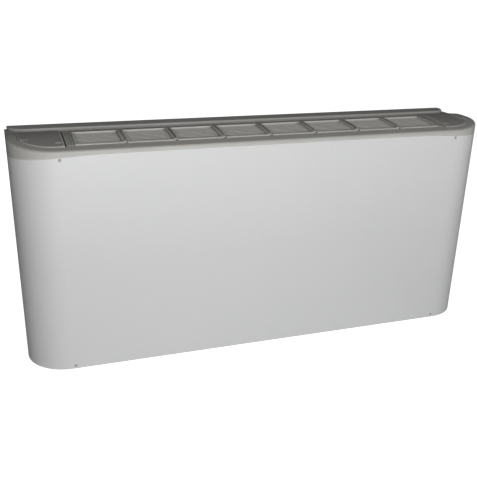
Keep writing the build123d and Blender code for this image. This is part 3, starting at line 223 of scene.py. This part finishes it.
def paint_edge_highlight_and_hollow_shade(material, width, edge, depth, hollow):
    """Paint a highlight on the rounded edges over a width, and paint shade into the hollows
    nearer than a depth.
    """
    tree = material.node_tree
    rounded = add_node(tree, "ShaderNodeBevel", {"samples": 6}, Radius=width)
    flat = add_node(tree, "ShaderNodeNewGeometry")
    turn = add_node(tree, "ShaderNodeVectorMath", {"operation": "DOT_PRODUCT"})
    join(tree, rounded.outputs["Normal"], turn.inputs[0])
    join(tree, flat.outputs["True Normal"], turn.inputs[1])
    painted_edge_highlight = add_node(tree, "ShaderNodeMapRange")
    painted_edge_highlight.inputs["From Min"].default_value = 0.98
    painted_edge_highlight.inputs["From Max"].default_value = 0.80
    painted_edge_highlight.inputs["To Min"].default_value = 1.0
    painted_edge_highlight.inputs["To Max"].default_value = edge
    join(tree, turn.outputs["Value"], painted_edge_highlight.inputs["Value"])
    open_sky = add_node(tree, "ShaderNodeAmbientOcclusion", {"samples": 6}, Distance=depth)
    painted_hollow_shade = add_node(tree, "ShaderNodeMapRange")
    painted_hollow_shade.inputs["From Min"].default_value = 0.25
    painted_hollow_shade.inputs["From Max"].default_value = 0.9
    painted_hollow_shade.inputs["To Min"].default_value = hollow
    join(tree, open_sky.outputs["AO"], painted_hollow_shade.inputs["Value"])
    both = add_node(tree, "ShaderNodeMath", {"operation": "MULTIPLY"})
    join(tree, painted_edge_highlight.outputs["Result"], both.inputs[0])
    join(tree, painted_hollow_shade.outputs["Result"], both.inputs[1])
    scale_color(material, both.outputs[0])


white_powder_coat = finish_material(
    "white_powder_coat",
    (0.80, 0.81, 0.80),
    (0.76, 0.775, 0.765),
    0.36,
    scale=3.0,
    amount=0.5,
    dust=0.05,
    coarse=420.0,
    fine=1100.0,
    bump=0.10,
    bump_depth=0.0003,
    coat=0.15,
)
# Painted shade: the panel's white is darkened towards the floor, fully below 0.26 m and not at
# all above 0.5 m.
SHADE_FULL_BELOW = 0.26
SHADE_NONE_ABOVE = 0.50
SHADE_TONE = 0.92
panel_tree = white_powder_coat.node_tree
panel_place = add_node(panel_tree, "ShaderNodeTexCoord")
panel_split = add_node(panel_tree, "ShaderNodeSeparateXYZ")
floorward_painted_shade = add_node(panel_tree, "ShaderNodeMapRange")
floorward_painted_shade.inputs["From Min"].default_value = SHADE_FULL_BELOW
floorward_painted_shade.inputs["From Max"].default_value = SHADE_NONE_ABOVE
floorward_painted_shade.inputs["To Min"].default_value = SHADE_TONE
join(panel_tree, panel_place.outputs["Object"], panel_split.inputs[0])
join(panel_tree, panel_split.outputs["Z"], floorward_painted_shade.inputs["Value"])
scale_color(white_powder_coat, floorward_painted_shade.outputs["Result"])
dress(white_powder_coat, "front_panel")

# ---------------------------------------------------------------- Panel screws
# Four flush cross-head screws in a greyer paint that hold the panel to its two rails, and the
# dark zinc screws of the cover and chassis.
screw_paint = finish_material(
    "screw_paint", (0.46, 0.46, 0.45), (0.38, 0.38, 0.37), 0.40, scale=120.0, bump=0.1
)
dress(screw_paint, "panel_screws")
dark_zinc = finish_material(
    "dark_zinc",
    (0.22, 0.22, 0.22),
    (0.10, 0.10, 0.10),
    0.42,
    scale=90.0,
    amount=0.6,
    metal=0.9,
    bump=0.2,
    bump_depth=0.0001,
)
dress(dark_zinc, "cover_screws", "chassis_screws")

# ---------------------------------------------------------------- Top cover
# Injection moulded in warm grey plastic with a fine spark-eroded grain, screwed down over the
# case through its ribs.
cover_grey = finish_material(
    "cover_grey",
    (0.560, 0.552, 0.524),
    (0.490, 0.484, 0.460),
    0.50,
    scale=9.0,
    amount=0.6,
    dust=0.16,
    coarse=700.0,
    fine=2200.0,
    bump=0.22,
    bump_depth=0.00025,
)
# Painted highlight on the cover's rounded edges and painted shade in its hollows and crevices.
paint_edge_highlight_and_hollow_shade(cover_grey, 0.005, 1.35, 0.012, 0.40)
dress(cover_grey, "top_cover")

# ---------------------------------------------------------------- Louvre grilles
# Eight drop-in inserts moulded in the same plastic, a shade lighter, with thin leaning fins
# whose feet and crevices carry painted shade, and a painted highlight on their rounded edges.
grille_grey = finish_material(
    "grille_grey",
    (0.760, 0.748, 0.708),
    (0.660, 0.651, 0.618),
    0.48,
    scale=14.0,
    amount=0.6,
    dust=0.18,
    coarse=900.0,
    fine=2400.0,
    bump=0.18,
    bump_depth=0.0002,
)
# Painted highlight on the grille edges and painted shade at the fins' feet and in the crevices.
paint_edge_highlight_and_hollow_shade(grille_grey, 0.002, 1.45, 0.012, 0.15)
dress(grille_grey, *[f"grille_{i + 1}" for i in range(8)])

# ---------------------------------------------------------------- End flaps
# A moulded access flap at each end, coloured darker than the cover as painted shade, with a
# painted highlight along its rounded edges and painted shade in its hollows, on a bright steel
# pin.
# Painted shade: the flap's grey is a darker copy of the cover's plastic.
flap_grey_painted_shade = finish_material(
    "flap_grey_painted_shade",
    (0.430, 0.424, 0.400),
    (0.350, 0.346, 0.327),
    0.46,
    scale=16.0,
    amount=0.6,
    dust=0.14,
    coarse=700.0,
    fine=2200.0,
    bump=0.2,
    bump_depth=0.00025,
)
# Painted highlight on the flap's rounded edges and painted shade in its hollows.
paint_edge_highlight_and_hollow_shade(flap_grey_painted_shade, 0.006, 2.6, 0.010, 0.40)
dress(flap_grey_painted_shade, "left_flap", "right_flap")
bright_steel = finish_material(
    "bright_steel",
    (0.62, 0.62, 0.61),
    (0.48, 0.48, 0.48),
    0.28,
    scale=60.0,
    amount=0.5,
    metal=1.0,
    bump=0.1,
    bump_depth=0.0001,
)
dress(bright_steel, "hinge_pins", "fan_shaft", "thermostat_spindle", "speed_spindle")

# ---------------------------------------------------------------- Controls
# Under the right flap: a moulded box and plate, two ribbed knobs, a red rocker, and the
# terminals, capacitor and gland inside and below.
plate_grey = finish_material(
    "plate_grey", (0.50, 0.50, 0.48), (0.44, 0.44, 0.42), 0.5, scale=30.0, dust=0.12,
    coarse=900.0, fine=2400.0
)
box_grey = finish_material(
    "box_grey", (0.30, 0.30, 0.29), (0.24, 0.24, 0.23), 0.55, scale=22.0, coarse=900.0
)
black_moulding = finish_material(
    "black_moulding", (0.030, 0.030, 0.031), (0.055, 0.055, 0.055), 0.42, scale=40.0,
    amount=0.5, dust=0.10, coarse=1200.0
)
rocker_red = finish_material(
    "rocker_red", (0.50, 0.035, 0.025), (0.40, 0.025, 0.020), 0.25, scale=50.0, dust=0.05,
    bump=0.04, coat=0.4
)
can_grey = finish_material(
    "can_grey", (0.70, 0.70, 0.68), (0.60, 0.60, 0.58), 0.40, scale=50.0
)
dress(plate_grey, "control_plate")
dress(box_grey, "control_box", "cable_gland")
dress(
    black_moulding,
    "thermostat_body",
    "speed_body",
    "season_frame",
    "terminal_block",
    "thermostat_knob",
    "speed_knob",
    "vent_screw",
)
dress(rocker_red, "season_rocker")
dress(can_grey, "capacitor")

# ---------------------------------------------------------------- Galvanised sheet metal
# Chassis plates, rails, deck, fan housings and filter clips: hot-dip galvanised steel with
# its crystal spangle.


def galvanised_material():
    """Zinc with flat crystals of slightly different brightness."""
    material = finish_material(
        "galvanised", (0.56, 0.57, 0.58), (0.42, 0.43, 0.44), 0.42, scale=12.0, amount=0.5,
        metal=0.85, coarse=260.0, bump=0.12
    )
    tree = material.node_tree
    place = add_node(tree, "ShaderNodeTexCoord")
    crystals = add_node(tree, "ShaderNodeTexVoronoi", Scale=85.0)
    join(tree, place.outputs["Object"], crystals.inputs["Vector"])
    bright = add_node(tree, "ShaderNodeSeparateColor")
    join(tree, crystals.outputs["Color"], bright.inputs[0])
    vary = add_node(tree, "ShaderNodeMapRange")
    vary.inputs["To Min"].default_value = 0.72
    vary.inputs["To Max"].default_value = 1.08
    join(tree, bright.outputs[0], vary.inputs["Value"])
    scale_color(material, vary.outputs["Result"])
    return material


galvanised = galvanised_material()
dress(
    galvanised,
    "back_plate",
    "left_end_plate",
    "right_end_plate",
    "top_rail",
    "bottom_rail",
    "duct_panel",
    "fan_deck",
    "motor_bracket",
    "left_fan_housing",
    "right_fan_housing",
    "left_coil_plate",
    "right_coil_plate",
    "filter_clips",
)

# ---------------------------------------------------------------- Water coil
# Copper tubes expanded into thin aluminium fins, brazed to two headers with brass unions.
# The fins are punched from foil and stand about two millimetres apart.
FIN_PITCH = 0.0022
FIN_FOIL = 0.00018
COIL_LEAN = math.radians(35.0)

copper = finish_material(
    "copper", (0.60, 0.27, 0.15), (0.36, 0.16, 0.09), 0.32, scale=45.0, amount=0.7, metal=1.0,
    bump=0.08
)
brass = finish_material(
    "brass", (0.66, 0.48, 0.20), (0.46, 0.33, 0.14), 0.30, scale=60.0, amount=0.6, metal=1.0,
    bump=0.08
)
aluminium = finish_material(
    "aluminium", (0.72, 0.73, 0.74), (0.58, 0.59, 0.60), 0.38, scale=40.0, amount=0.5, metal=0.95,
    bump=0.10
)
dress(copper, "coil_tubes", "return_bends", "link_bends", "flow_header", "return_header")
dress(brass, "flow_union", "return_union", "vent_body")
dress(aluminium, "left_impeller", "right_impeller")


def geometry_tree(name, inputs):
    """Geometry Nodes tree with named inputs, and its input and output nodes."""
    tree = bpy.data.node_groups.new(name, "GeometryNodeTree")
    for socket, kind, value in inputs:
        made = tree.interface.new_socket(socket, in_out="INPUT", socket_type=kind)
        made.default_value = value
    tree.interface.new_socket("Geometry", in_out="OUTPUT", socket_type="NodeSocketGeometry")
    return tree, tree.nodes.new("NodeGroupInput"), tree.nodes.new("NodeGroupOutput")


def grow(name, tree, values, place=Matrix.Identity(4)):
    """Run a Geometry Nodes tree with its input values and keep the result as a plain mesh."""
    carrier = bpy.data.objects.new(name + "_source", bpy.data.meshes.new(name + "_source"))
    bpy.context.scene.collection.objects.link(carrier)
    modifier = carrier.modifiers.new("nodes", "NODES")
    modifier.node_group = tree
    for item in tree.interface.items_tree:
        if item.in_out == "INPUT" and item.name in values:
            modifier[item.identifier] = values[item.name]
    graph = bpy.context.evaluated_depsgraph_get()
    mesh = bpy.data.meshes.new_from_object(carrier.evaluated_get(graph))
    mesh.transform(place)
    bpy.data.objects.remove(carrier)
    piece = bpy.data.objects.new(name, mesh)
    bpy.context.scene.collection.objects.link(piece)
    return piece


def row_of_bars(name, material):
    """Tree that repeats one bar along a line."""
    tree, inp, out = geometry_tree(
        name,
        (
            ("Size", "NodeSocketVector", (0.1, 0.1, 0.1)),
            ("Count", "NodeSocketInt", 10),
            ("Start", "NodeSocketVector", (0, 0, 0)),
            ("Step", "NodeSocketVector", (0.01, 0, 0)),
        ),
    )
    bar = tree.nodes.new("GeometryNodeMeshCube")
    line = tree.nodes.new("GeometryNodeMeshLine")
    spread = tree.nodes.new("GeometryNodeInstanceOnPoints")
    real = tree.nodes.new("GeometryNodeRealizeInstances")
    paint = tree.nodes.new("GeometryNodeSetMaterial")
    paint.inputs["Material"].default_value = material
    join(tree, inp.outputs["Size"], bar.inputs["Size"])
    join(tree, inp.outputs["Count"], line.inputs["Count"])
    join(tree, inp.outputs["Start"], line.inputs["Start Location"])
    join(tree, inp.outputs["Step"], line.inputs["Offset"])
    join(tree, line.outputs["Mesh"], spread.inputs["Points"])
    join(tree, bar.outputs["Mesh"], spread.inputs["Instance"])
    join(tree, spread.outputs["Instances"], real.inputs["Geometry"])
    join(tree, real.outputs["Geometry"], paint.inputs["Geometry"])
    join(tree, paint.outputs["Geometry"], out.inputs["Geometry"])
    return tree


fin_low, fin_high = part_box("fin_pack")
fin_middle = (fin_low + fin_high) / 2
reach_y = fin_high.y - fin_low.y
reach_z = fin_high.z - fin_low.z
lean_sin = math.sin(COIL_LEAN)
lean_cos = math.cos(COIL_LEAN)
lean_turn = lean_cos**2 - lean_sin**2
fin_thick = (reach_y * lean_cos - reach_z * lean_sin) / lean_turn
fin_tall = (reach_z * lean_cos - reach_y * lean_sin) / lean_turn
fin_count = int((fin_high.x - fin_low.x) / FIN_PITCH)
fins = grow(
    "coil_fins",
    row_of_bars("fin_row", aluminium),
    {
        "Size": (FIN_FOIL, fin_thick, fin_tall),
        "Count": fin_count,
        "Start": (-(fin_count - 1) * FIN_PITCH / 2, 0, 0),
        "Step": (FIN_PITCH, 0, 0),
    },
    Matrix.Translation(fin_middle) @ Matrix.Rotation(COIL_LEAN, 4, "X"),
)
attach(fins, "cabinet")
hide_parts("fin_pack")

# ---------------------------------------------------------------- Fans and motor
# A black painted motor held in two rubber rings, between the two drum wheels.
motor_black = finish_material(
    "motor_black", (0.045, 0.046, 0.05), (0.09, 0.09, 0.09), 0.45, scale=30.0, amount=0.5,
    dust=0.2, coat=0.1
)
rubber_black = finish_material(
    "rubber_black", (0.020, 0.020, 0.020), (0.045, 0.045, 0.045), 0.75, scale=60.0, amount=0.5,
    coarse=500.0
)
dress(motor_black, "fan_motor")
dress(rubber_black, "motor_rings")

# ---------------------------------------------------------------- Drip tray
# Black moulded trough under the coil's lower edge with a hose spigot through the left plate.
tray_black = finish_material(
    "tray_black", (0.05, 0.05, 0.052), (0.085, 0.085, 0.085), 0.5, scale=18.0, amount=0.5
)
dress(tray_black, "drip_tray")

# ---------------------------------------------------------------- Filter
# A black plastic frame in four cells, each with a woven nylon net that pulls down with it.
NET_PITCH = 0.003
NET_THREAD = 0.0006

filter_black = finish_material(
    "filter_black", (0.06, 0.06, 0.065), (0.10, 0.10, 0.10), 0.5, scale=25.0, amount=0.5
)
net_nylon = finish_material(
    "net_nylon", (0.13, 0.13, 0.14), (0.20, 0.20, 0.19), 0.6, scale=35.0, amount=0.6, dust=0.3
)
dress(filter_black, "filter_frame")
net_low, net_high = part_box("filter_mesh")
net_middle = (net_low + net_high) / 2
threads = row_of_bars("net_threads", net_nylon)
long_count = int((net_high.y - net_low.y) / NET_PITCH)
cross_count = int((net_high.x - net_low.x) / NET_PITCH)
warp = grow(
    "filter_net",
    threads,
    {
        "Size": (net_high.x - net_low.x, NET_THREAD, NET_THREAD),
        "Count": long_count,
        "Start": (net_middle.x, net_low.y + NET_PITCH / 2, net_middle.z),
        "Step": (0, NET_PITCH, 0),
    },
)
weft = grow(
    "filter_weft",
    threads,
    {
        "Size": (NET_THREAD, net_high.y - net_low.y, NET_THREAD),
        "Count": cross_count,
        "Start": (net_low.x + NET_PITCH / 2, net_middle.y, net_middle.z - NET_THREAD),
        "Step": (NET_PITCH, 0, 0),
    },
)
for net in (warp, weft):
    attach(net, "filter")
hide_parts("filter_mesh")

# ---------------------------------------------------------------- Studio
# A plain white floor, a soft lamp low in front, a little to the left, so that the front is
# bright while the top and the rounded corners fall away, a weaker one low behind for the wall
# side, and a weak even sky.
FLOOR_HALF = 40.0
FLOOR_GLOW = 1.0
DARK_HALF = (0.56, 0.09, 0)  # half size of the floor under the case, inside its round corners
SKY_FILL = 0.09

floor_mesh = bpy.data.meshes.new("floor")
floor_mesh.from_pydata(
    [(x * FLOOR_HALF, y * FLOOR_HALF, 0) for x, y in ((-1, -1), (1, -1), (1, 1), (-1, 1))],
    [],
    [(0, 1, 2, 3)],
)
floor = bpy.data.objects.new("floor", floor_mesh)
bpy.context.scene.collection.objects.link(floor)
pale_floor = bpy.data.materials.new("pale_floor")
pale_floor.use_nodes = True
floor_tree = pale_floor.node_tree
floor_shader = floor_tree.nodes["Principled BSDF"]
floor_shader.inputs["Base Color"].default_value = (0.80, 0.80, 0.80, 1)
floor_shader.inputs["Roughness"].default_value = 0.9
floor_shader.inputs["Specular IOR Level"].default_value = 0.1
floor_shader.inputs["Emission Color"].default_value = (1, 1, 1, 1)
floor_seen = add_node(floor_tree, "ShaderNodeLightPath")
floor_glow = add_node(floor_tree, "ShaderNodeMath", {"operation": "MULTIPLY"})
floor_glow.inputs[1].default_value = FLOOR_GLOW
join(floor_tree, floor_seen.outputs["Is Camera Ray"], floor_glow.inputs[0])
# No glow under the case, where the floor is seen only through the grilles and wells
floor_place = add_node(floor_tree, "ShaderNodeTexCoord")
floor_fold = add_node(floor_tree, "ShaderNodeVectorMath", {"operation": "ABSOLUTE"})
floor_past = add_node(floor_tree, "ShaderNodeVectorMath", {"operation": "SUBTRACT"})
floor_past.inputs[1].default_value = DARK_HALF
floor_split = add_node(floor_tree, "ShaderNodeSeparateXYZ")
floor_far = add_node(floor_tree, "ShaderNodeMath", {"operation": "MAXIMUM"})
floor_open = add_node(floor_tree, "ShaderNodeMath", {"operation": "GREATER_THAN"})
floor_open.inputs[1].default_value = 0.0
floor_light = add_node(floor_tree, "ShaderNodeMath", {"operation": "MULTIPLY"})
join(floor_tree, floor_place.outputs["Object"], floor_fold.inputs[0])
join(floor_tree, floor_fold.outputs[0], floor_past.inputs[0])
join(floor_tree, floor_past.outputs[0], floor_split.inputs[0])
join(floor_tree, floor_split.outputs["X"], floor_far.inputs[0])
join(floor_tree, floor_split.outputs["Y"], floor_far.inputs[1])
join(floor_tree, floor_far.outputs[0], floor_open.inputs[0])
join(floor_tree, floor_glow.outputs[0], floor_light.inputs[0])
join(floor_tree, floor_open.outputs[0], floor_light.inputs[1])
join(floor_tree, floor_light.outputs[0], floor_shader.inputs["Emission Strength"])
floor.data.materials.append(pale_floor)


def softbox(name, place, aim, size, power):
    """Square area light that faces a point."""
    light = bpy.data.lights.new(name, "AREA")
    light.shape = "SQUARE"
    light.size = size
    light.energy = power
    lamp = bpy.data.objects.new(name, light)
    lamp.location = place
    lamp.rotation_euler = (Vector(aim) - Vector(place)).to_track_quat("-Z", "Y").to_euler()
    bpy.context.scene.collection.objects.link(lamp)


softbox("key", (-0.25, -2.6, 0.98), (0, 0, 0.35), 1.0, 41.0)
softbox("back", (0.4, 2.7, 0.30), (0, 0, 0.27), 0.5, 22.0)

sky = bpy.data.worlds.new("sky")
sky.use_nodes = True
sky_tree = sky.node_tree
sky_light = sky_tree.nodes["Background"]
sky_light.inputs["Color"].default_value = (1, 1, 1, 1)
sky_light.inputs["Strength"].default_value = SKY_FILL
sky_seen = add_node(sky_tree, "ShaderNodeBackground", Strength=1.0)
sky_seen.inputs["Color"].default_value = (1, 1, 1, 1)
sky_path = add_node(sky_tree, "ShaderNodeLightPath")
sky_choice = add_node(sky_tree, "ShaderNodeMixShader")
join(sky_tree, sky_path.outputs["Is Camera Ray"], sky_choice.inputs[0])
join(sky_tree, sky_light.outputs[0], sky_choice.inputs[1])
join(sky_tree, sky_seen.outputs[0], sky_choice.inputs[2])
join(sky_tree, sky_choice.outputs[0], sky_tree.nodes["World Output"].inputs["Surface"])
bpy.context.scene.world = sky
bpy.context.scene.view_settings.view_transform = "Standard"

# The camera stands at the left front, a little above the case, and looks slightly down
CAMERA_PLACE = (-0.6000, -1.5876, 0.8658)
CAMERA_YAW = math.radians(18.523)
CAMERA_PITCH = math.radians(22.366)
CAMERA_ROLL = math.radians(1.020)
ahead = Vector(
    (
        math.sin(CAMERA_YAW) * math.cos(CAMERA_PITCH),
        math.cos(CAMERA_YAW) * math.cos(CAMERA_PITCH),
        -math.sin(CAMERA_PITCH),
    )
)
level_right = Vector((math.cos(CAMERA_YAW), -math.sin(CAMERA_YAW), 0))
level_up = level_right.cross(ahead)
right = level_right * math.cos(CAMERA_ROLL) + level_up * math.sin(CAMERA_ROLL)
up = level_up * math.cos(CAMERA_ROLL) - level_right * math.sin(CAMERA_ROLL)
turn = Matrix((right, up, -ahead)).transposed().to_4x4()
lens = bpy.data.cameras.new("camera")
lens.sensor_width = 36.0
lens.lens = 51.52
lens.shift_x = 0.0185
lens.shift_y = 0.0538
lens.clip_start = 0.02
camera = bpy.data.objects.new("camera", lens)
bpy.context.scene.collection.objects.link(camera)
camera.matrix_world = Matrix.Translation(Vector(CAMERA_PLACE)) @ turn
bpy.context.scene.camera = camera
